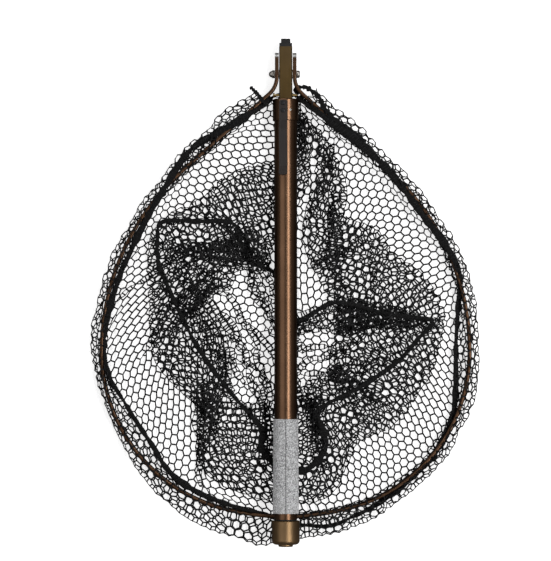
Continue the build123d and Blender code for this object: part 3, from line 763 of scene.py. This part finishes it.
# The hoop's two ends are cut bare beyond this place along the row frame's y, in metres
BARE_TIP = (PIVOT_Y + 18.6) * MM
BARE_BLUR = 0.0006


def anodised(name, colour, dark, roughness, grain, wear, bare_from=None):
    """Anodised aluminium: fine draw or turning marks, a slightly uneven dye, and worn edges."""
    paint = Paint(name, colour, roughness, 1.0)
    cloud = paint.noise(paint.coords(), 34.0, 2.0)
    tint = paint.mix(paint.remap(cloud, 0.3, 0.7, 0.0, 1.0), dark, colour)
    streaks = paint.noise(paint.coords(scale=grain, turn=HANDLE_TURN), 1.0, 2.0)
    tint = paint.mix(paint.math("MULTIPLY", paint.remap(streaks, 0.35, 0.65, 0.0, 1.0), 0.12), tint, dark)
    worn = paint.math("MULTIPLY", paint.pointy(0.53, 0.6), wear)
    tint = paint.mix(worn, tint, (0.75, 0.68, 0.58))
    if bare_from:
        along = paint.node("ShaderNodeSeparateXYZ", {0: paint.coords()}).outputs["Y"]
        bare = paint.remap(along, bare_from - BARE_BLUR, bare_from + BARE_BLUR, 0.0, 1.0)
        tint = paint.mix(bare, tint, (0.6, 0.6, 0.59))
    paint.join(tint, "Base Color")
    spots = paint.noise(paint.coords(), 900.0, 2.0)
    streaked = paint.remap(streaks, 0.3, 0.7, -0.025, 0.035)
    rough = paint.math("ADD", streaked, paint.remap(spots, 0.3, 0.7, -0.02, 0.03))
    paint.join(paint.math("ADD", rough, roughness), "Roughness")
    paint.join(paint.bump(streaks, 0.00001, 0.4), "Normal")
    return paint.material


def metal(name, colour, roughness):
    """Bare metal with fine scratches and a little grime in random patches."""
    paint = Paint(name, colour, roughness, 1.0)
    fine = paint.noise(paint.coords(scale=(1, 0.12, 1)), 1400.0, 2.0)
    stain = paint.noise(paint.coords(), 260.0, 4.0)
    dull = tuple(0.62 * c for c in colour)
    paint.join(paint.mix(paint.remap(stain, 0.42, 0.72, 0.0, 0.7), colour, dull), "Base Color")
    paint.join(paint.math("ADD", paint.remap(fine, 0.3, 0.7, -0.07, 0.08), roughness), "Roughness")
    paint.join(paint.bump(fine, 0.00001, 0.4), "Normal")
    return paint.material


def moulded(name, colour, roughness, worn=(0.10, 0.10, 0.10)):
    """Moulded plastic or painted metal: fine spark texture, and edges rubbed paler."""
    paint = Paint(name, colour, roughness, Specular_IOR_Level=0.35)
    grain = paint.noise(paint.coords(), 2400.0, 2.0)
    patch = paint.noise(paint.coords(), 90.0, 3.0)
    tone = paint.mix(paint.remap(patch, 0.3, 0.7, 0.0, 0.5), colour, tuple(1.6 * c for c in colour))
    paint.join(paint.mix(paint.math("MULTIPLY", paint.pointy(0.54, 0.62), 0.1), tone, worn), "Base Color")
    paint.join(paint.math("ADD", paint.remap(patch, 0.3, 0.7, -0.06, 0.08), roughness), "Roughness")
    paint.join(paint.bump(grain, 0.00004, 0.5), "Normal")
    return paint.material


def heather(name):
    """The grip's heathered knit over foam: pale and dark fibres, ribs along the grip, and a soft sheen."""
    paint = Paint(name, (0.33, 0.33, 0.335), 0.9, Sheen_Weight=0.35, Sheen_Roughness=0.4)
    along = paint.coords(turn=HANDLE_TURN)
    knit = paint.node("ShaderNodeTexVoronoi", {"Vector": along, "Scale": 1500.0}).outputs["Distance"]
    fibres = paint.noise(paint.coords(scale=(1, 0.6, 1), turn=HANDLE_TURN), 1150.0, 3.0, 0.75)
    blotch = paint.noise(along, 420.0, 3.0, 0.6)
    mixed = paint.math("ADD", paint.math("MULTIPLY", fibres, 0.82), paint.math("MULTIPLY", blotch, 0.18))
    tone = paint.mix(paint.remap(mixed, 0.43, 0.56, 0.0, 1.0), (0.18, 0.18, 0.185), (0.86, 0.86, 0.87))
    across = paint.node("ShaderNodeSeparateXYZ", {0: paint.coords()}).outputs["X"]
    seam = paint.remap(paint.math("ABSOLUTE", across), 0.00025, 0.0006, 0.85, 0.0)
    paint.join(paint.mix(seam, tone, (0.03, 0.03, 0.03)), "Base Color")
    coarse = paint.bump(knit, 0.00035, 0.7)
    paint.join(paint.bump(fibres, 0.00018, 0.8, under=coarse), "Normal")
    return paint.material


def rubbered(name):
    """The mesh: black rubber-coated cord with a dull shine and slightly greyer patches."""
    paint = Paint(name, (0.007, 0.007, 0.0075), 0.5, Specular_IOR_Level=0.3)
    patch = paint.noise(paint.coords(), 60.0, 4.0)
    fine = paint.noise(paint.coords(), 1500.0, 2.0)
    grey = paint.remap(patch, 0.35, 0.7, 0.0, 1.0)
    paint.join(paint.mix(grey, (0.004, 0.004, 0.0045), (0.014, 0.014, 0.015)), "Base Color")
    paint.join(paint.remap(fine, 0.3, 0.7, 0.4, 0.62), "Roughness")
    paint.join(paint.bump(fine, 0.00006, 0.5), "Normal")
    return paint.material


def binding(name):
    """Woven binding tape gathered over the seam: ribs across it, a fine weave and stitched creases. Its
    colour is darker in the ribs' troughs than on their crests: painted shade in the creases.
    """
    gloss = {"Specular_IOR_Level": 0.25, "Sheen_Weight": 0.04, "Sheen_Roughness": 0.5}
    paint = Paint(name, (0.006, 0.006, 0.006), 0.85, **gloss)
    wave = {"Scale": 2.6, "Distortion": 3.0, "Detail": 2.0, "Detail Scale": 1.6}
    wave["Vector"] = paint.coords("UV", scale=(1, 0.35, 1))
    ribs = paint.node("ShaderNodeTexWave", wave, bands_direction="X").outputs["Fac"]
    weave = paint.node("ShaderNodeTexVoronoi", {"Vector": paint.coords(), "Scale": 1300.0})
    # The colour follows the ribs' relief: painted shade, darker in their troughs
    paint.join(paint.mix(ribs, (0.002, 0.002, 0.002), (0.011, 0.011, 0.0115)), "Base Color")
    folds = paint.bump(ribs, 0.0007, 0.9)
    paint.join(paint.bump(weave.outputs["Distance"], 0.0002, 0.6, under=folds), "Normal")
    return paint.material


BRONZE = (0.19, 0.106, 0.062)
# The hoop's bronze on this line is the tube's bronze darkened: painted shade, standing in for the shade on
# the arms' rounded profile
BAR_BRONZE, CAP_BRONZE, HOOP_BRONZE_SHADED = (0.17, 0.108, 0.042), (0.32, 0.205, 0.105), (0.13, 0.072, 0.042)
DARK_BRONZE, DARK_BAR = (0.15, 0.082, 0.047), (0.125, 0.08, 0.031)
# The hoop's darker tone on this line is darkened the same way: painted shade on the arms' rounded profile
DARK_CAP, DARK_HOOP_SHADED = (0.25, 0.16, 0.082), (0.08, 0.045, 0.027)
DRAWN_TUBE, DRAWN_BAR = (2600, 12, 2600), (2200, 16, 2200)
TURNED_CAP, ROLLED_HOOP = (30, 1500, 30), (700, 700, 2200)
paints = {
    "bronze_tube": anodised("anodised_tube", BRONZE, DARK_BRONZE, 0.29, DRAWN_TUBE, 0.0),
    "bronze_bar": anodised("anodised_bar", BAR_BRONZE, DARK_BAR, 0.36, DRAWN_BAR, 0.06),
    "bronze_cap": anodised("anodised_cap", CAP_BRONZE, DARK_CAP, 0.42, TURNED_CAP, 0.0),
    "bronze_hoop": anodised("anodised_hoop_painted_shade", HOOP_BRONZE_SHADED, DARK_HOOP_SHADED, 0.36, ROLLED_HOOP, 0.0, BARE_TIP),
    "bare_steel": metal("bare_steel", (0.56, 0.53, 0.49), 0.26),
    "dark_steel": metal("dark_steel", (0.05, 0.05, 0.052), 0.36),
    "brass": metal("brass", (0.72, 0.52, 0.22), 0.24),
    "black_metal": moulded("painted_clip", (0.019, 0.013, 0.011), 0.42, (0.10, 0.095, 0.09)),
    "black_plastic": moulded("black_plastic", (0.008, 0.008, 0.0085), 0.5, (0.05, 0.05, 0.05)),
    "pale_plastic": moulded("pale_plastic", (0.55, 0.54, 0.50), 0.45, (0.6, 0.6, 0.58)),
    "grey_grip": heather("heather_grip"),
    "black_rubber": moulded("black_rubber", (0.014, 0.014, 0.014), 0.7),
    "net_mesh": rubbered("rubbered_cord"),
    "net_binding": binding("binding_tape"),
}
thread = moulded("thread", (0.009, 0.009, 0.0095), 0.65, (0.03, 0.03, 0.03))

for part in frame["record"]["subparts"]:
    shown = frame["nodes"][part["node"]]
    shown.data.materials.clear()
    shown.data.materials.append(paints[part["material_slot"]])

# ---- the two springs: copies of the CAD coils, baked where they stand, in place of the CAD parts

for node, name, at_head, at_butt in (
    ("scale_spring", "scale_spring_coils", "head", "handle"),
    ("return_spring", "return_spring_coils", "release", "head"),
):
    coils = add_object(name, frame["nodes"][node].data.copy())
    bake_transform(coils)
    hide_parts(node)

# ---- the net


def band_sizes(count, width, height, seed, lump):
    """The widths and heights of a band round a loop, made lumpy by a few waves."""
    at = np.linspace(0, 1, count, endpoint=False) * 2 * pi
    noise = np.zeros(count)
    made = np.random.default_rng(seed)
    for k in (9, 17, 31, 53, 88):
        noise += np.sin(k * at + made.uniform(0, 2 * pi)) * made.uniform(0.5, 1.0)
    noise = 1 + lump * noise / 2.2
    return width * noise, height * noise


wall_places, wall_cells, hem_cells = make_wall_and_hem()
panel_places, panel_cells, panel_flat = make_panel()
net_bag = cord_mesh("net_bag", wall_places, wall_cells, paints["net_mesh"])
net_hem = cord_mesh("net_hem", wall_places, hem_cells, paints["net_mesh"])
net_panel = cord_mesh("net_panel", panel_places, panel_cells, paints["net_mesh"])

# The width of the hem's bound seam, gathered with the cloth beside it, at places round the rim
RIM_WIDTHS = (
    (-22, 31, 7), (-60, 56, 7.5), (-97, 77, 8), (-131, 122, 6.5), (-165, 184, 6.5), (-195, 265, 6),
    (-200, 300, 5.5), (-181, 354, 5), (-145, 410, 5), (-117, 446, 7), (-58, 474, 6), (12, 494, 4),
    (72, 487, 4.5), (126, 454, 6), (170, 402, 8), (184, 372, 6.5), (187, 300, 5), (191, 228, 6.5),
    (170, 180, 7), (131, 129, 8), (84, 79, 8.5), (50, 52, 8.5), (21, 31, 7),
)
RIM_COUNT, BASE_COUNT = 880, 620
rim_line = rim.at(np.linspace(0, 1, RIM_COUNT, endpoint=False))
rim_widths, rim_heights = band_sizes(RIM_COUNT, 1.0, 3.6, 51, 0.3)
widths_by_place = Loop([(x, -down, width) for x, down, width in RIM_WIDTHS]).line
rim_widths = rim_widths * widths_by_place[nearest_of(rim_line, widths_by_place), 2]
in_mouth = (rim_line[:, 0] > -16) & (rim_line[:, 0] < 14) & (rim_line[:, 1] > -32)
rim_widths, rim_heights = np.where(in_mouth, 2.6, rim_widths), np.where(in_mouth, 2.0, rim_heights)
rim_line[:, 2] = np.maximum(rim_line[:, 2], rim_heights / 2 + 0.1)
base_flat = base.at(np.linspace(0, 1, BASE_COUNT, endpoint=False))
base_line = np.column_stack([base_flat, np.full(BASE_COUNT, 3.7)])
base_widths, base_heights = band_sizes(BASE_COUNT, 4.9, 3.2, 52, 0.3)
# The band is bunched where it passes the grip
BUNCHED_FROM, BUNCHED_RUN, BUNCHED_BY = 366, 14, 0.45
bunched = np.clip((-base_flat[:, 1] - BUNCHED_FROM) / BUNCHED_RUN, 0, 1)
base_widths = base_widths * (1 + BUNCHED_BY * bunched)
rim_binding = sweep("rim_binding", rim_line, rim_widths, rim_heights, paints["net_binding"])
base_binding = sweep("base_binding", base_line, base_widths, base_heights, paints["net_binding"])
PITCH, THREAD = 4.2, 0.55
rim_stitches = stitches("rim_stitches", rim_line, rim_widths, rim_heights, PITCH, THREAD, thread)
base_stitches = stitches("base_stitches", base_line, base_widths, base_heights, PITCH, THREAD, thread)

# The two loose ends of the hem's band, beside the head: the points of each, its width and its height
LEFT_END = ((-38, 15, 15.0), (-34, 19, 19.6), (-28, 26, 20.0), (-23, 32, 17.0), (-20, 33, 13.0))
RIGHT_END = (
    (14, 22, 9.5), (20, 14, 13.0), (29, 19, 18.0), (37, 27, 20.2), (43, 38, 20.4), (56, 52, 20.4),
    (70, 61, 18.6), (84, 72, 19.0),
)
END_STEP = 1.6
end_pieces = []
ends = (("hem_end_left", LEFT_END, 4.6, 2.6), ("hem_end_right", RIGHT_END, 5.4, 3.4))
for name, points, width, height in ends:
    curve = Loop([(x, -down, z) for x, down, z in points]).line
    line = resample(curve[:LOOP_STEPS * (len(points) - 1)], END_STEP)
    fade = 0.55 + 0.45 * np.sin(np.linspace(0.35, pi - 0.25, len(line)))
    lumps = band_sizes(len(line), 1.0, 1.0, 61, 0.35)[0]
    end_pieces.append(sweep(name, line, width * fade * lumps, height * fade * lumps,
                            paints["net_binding"], closed=False))

GRIP_START, GRIP_END = 377.5, 480.5
GRIP_FRONT, GRIP_BACK, GRIP_BORE, GRIP_LIP, GRIP_SHY = 13.8, 14.25, 12.53, 0.9, 0.12
KNIT_PITCH, KNIT_RIBS, KNIT_RELIEF = 1.9, 48, 0.05
SEAM_DEPTH, SEAM_HALF, PUFF = 0.34, 0.42, 0.07


def make_grip(material):
    """The knitted foam sleeve: tapered, with rolled ends, a soft knit relief and a glued seam on top."""
    rows, turns_count = 172, 150
    down = np.linspace(GRIP_START, GRIP_END, rows)
    turns = np.linspace(0, 2 * pi, turns_count, endpoint=False)
    from_end = np.minimum(down - GRIP_START, GRIP_END - down)
    lip = GRIP_LIP * (1 - np.sqrt(np.clip(1 - (1 - np.clip(from_end / GRIP_LIP, 0, 1)) ** 2, 0, 1)))
    radius = np.interp(down, (GRIP_START, GRIP_END), (GRIP_FRONT, GRIP_BACK)) - lip - GRIP_SHY
    d, a = np.meshgrid(down, turns, indexing="ij")
    knit = KNIT_RELIEF * np.sin(d * 2 * pi / KNIT_PITCH)
    knit = knit * np.sin(a * KNIT_RIBS + np.floor(d / (KNIT_PITCH / 2)) * pi)
    soft = PUFF * smooth_noise(d, a * GRIP_BACK, 22, 71)
    groove = SEAM_DEPTH * np.exp(-((((a - pi / 2) * GRIP_BACK) / SEAM_HALF) ** 2))
    outer = radius[:, None] + np.where(from_end[:, None] > 0.3, knit + soft, 0.0) - groove
    rings = [np.full(turns_count, GRIP_BORE), *outer, np.full(turns_count, GRIP_BORE)]
    places = [GRIP_START, *down, GRIP_END]
    tilt = radians(HANDLE_TILT)
    verts = []
    for place, ring in zip(places, rings):
        x, up = ring * np.cos(turns), ring * np.sin(turns)
        y, z = -place * cos(tilt) + up * sin(tilt), PIVOT_Z + place * sin(tilt) + up * cos(tilt)
        verts.append(np.column_stack([x, y, z]))
    faces = tube_faces(len(rings), turns_count, closed=True)
    return new_object("grip_sleeve", to_row(np.concatenate(verts)), faces, material)


grip_sleeve = make_grip(paints["grey_grip"])
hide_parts("foam_grip")
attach(grip_sleeve, "handle")

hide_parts("net_wall")
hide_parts("net_base")
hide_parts("rim_sleeve")
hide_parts("rim_seam")
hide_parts("base_seam")
for piece, slot in ((net_bag, "net_mesh"), (net_panel, "net_mesh"), (net_hem, "net_mesh"),
                    (rim_binding, "net_binding"), (base_binding, "net_binding"),
                    (rim_stitches, "net_binding"), (base_stitches, "net_binding"),
                    (end_pieces[0], "net_binding"), (end_pieces[1], "net_binding")):
    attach(piece, "hoop")

# ---- floor, light and camera

floor_paint = Paint("floor", (0.86, 0.86, 0.86), 0.9)
floor_noise = floor_paint.noise(floor_paint.coords(), 6.0, 2.0)
floor_paint.join(floor_paint.mix(floor_noise, (0.85, 0.85, 0.85), (0.88, 0.88, 0.88)), "Base Color")
floor_paint.set(floor_paint.shader, {"Emission Color": (1, 1, 1, 1), "Emission Strength": 0.72})
# The floor lies just under the net, because the scale's slide runs down with the tilted handle
FLOOR_DROP = 0.0028
FLOOR_REACHES = (6.0, 12.2)
CORNERS = ((-1, -1), (1, -1), (1, 1), (-1, 1))
floor_verts = [(reach * x, reach * y, -FLOOR_DROP) for reach in FLOOR_REACHES for x, y in CORNERS]
floor_faces = [(0, 1, 2, 3)] + [(i, 4 + i, 4 + (i + 1) % 4, (i + 1) % 4) for i in range(4)]
floor = new_object("floor", floor_verts, floor_faces, floor_paint.material, smooth=False)
floor.visible_glossy = False

# A pale dome inside the floor's edge, which only the camera sees. Every camera stands inside it.
DOME_RADIUS, DOME_RINGS, DOME_SIDES = 12.0, 12, 48
dome_verts, dome_faces = [], []
for ring in range(DOME_RINGS + 1):
    rise = pi / 2 * ring / (DOME_RINGS + 0.5)
    for side in range(DOME_SIDES):
        turn = 2 * pi * side / DOME_SIDES
        across = DOME_RADIUS * cos(rise)
        dome_verts.append((across * cos(turn), across * sin(turn), DOME_RADIUS * sin(rise) - 0.01))
for ring in range(DOME_RINGS):
    for side in range(DOME_SIDES):
        one, two = ring * DOME_SIDES + side, ring * DOME_SIDES + (side + 1) % DOME_SIDES
        dome_faces.append((two, one, one + DOME_SIDES, two + DOME_SIDES))
dome_faces.append(tuple(range(DOME_RINGS * DOME_SIDES, (DOME_RINGS + 1) * DOME_SIDES))[::-1])
backdrop_paint = Paint("backdrop", (0.8, 0.8, 0.8), 0.9)
backdrop_paint.set(backdrop_paint.shader, {"Emission Color": (1, 1, 1, 1), "Emission Strength": 0.86})
backdrop = new_object("backdrop", dome_verts, dome_faces, backdrop_paint.material)
for rays in ("diffuse", "glossy", "transmission", "shadow"):
    setattr(backdrop, f"visible_{rays}", False)


def area_light(name, place, size, power):
    """A soft light that faces the origin."""
    data = bpy.data.lights.new(name, "AREA")
    data.shape, data.size, data.size_y, data.energy = "RECTANGLE", size[0], size[1], power
    made = add_object(name, data)
    made.location = place
    made.rotation_euler = (Vector() - Vector(place)).to_track_quat("-Z", "Y").to_euler()


area_light("strip_right", (1.06, 0.0, 2.0), (2.4, 0.62), 30.0)
area_light("soft_left", (-1.5, 0.3, 2.2), (2.2, 2.2), 13.0)
area_light("soft_top", (0.2, 2.2, 1.6), (2.0, 1.0), 10.0)

world = bpy.data.worlds.new("studio")
world.use_nodes = True
world.node_tree.nodes["Background"].inputs["Color"].default_value = (1, 1, 1, 1)
world.node_tree.nodes["Background"].inputs["Strength"].default_value = 0.10
bpy.context.scene.world = world
bpy.context.scene.view_settings.view_transform = "Standard"

CAMERA_HEIGHT = 3.0
SEEN_HEIGHT = 0.61513
camera_data = bpy.data.cameras.new("camera")
camera_data.sensor_width = 36.0
camera_data.lens = 36.0 * (CAMERA_HEIGHT - PIVOT_Z * MM) / SEEN_HEIGHT
camera_data.clip_end = 20.0
camera = add_object("camera", camera_data)
camera.location = (-0.0112, 0.0127, CAMERA_HEIGHT)
bpy.context.scene.camera = camera
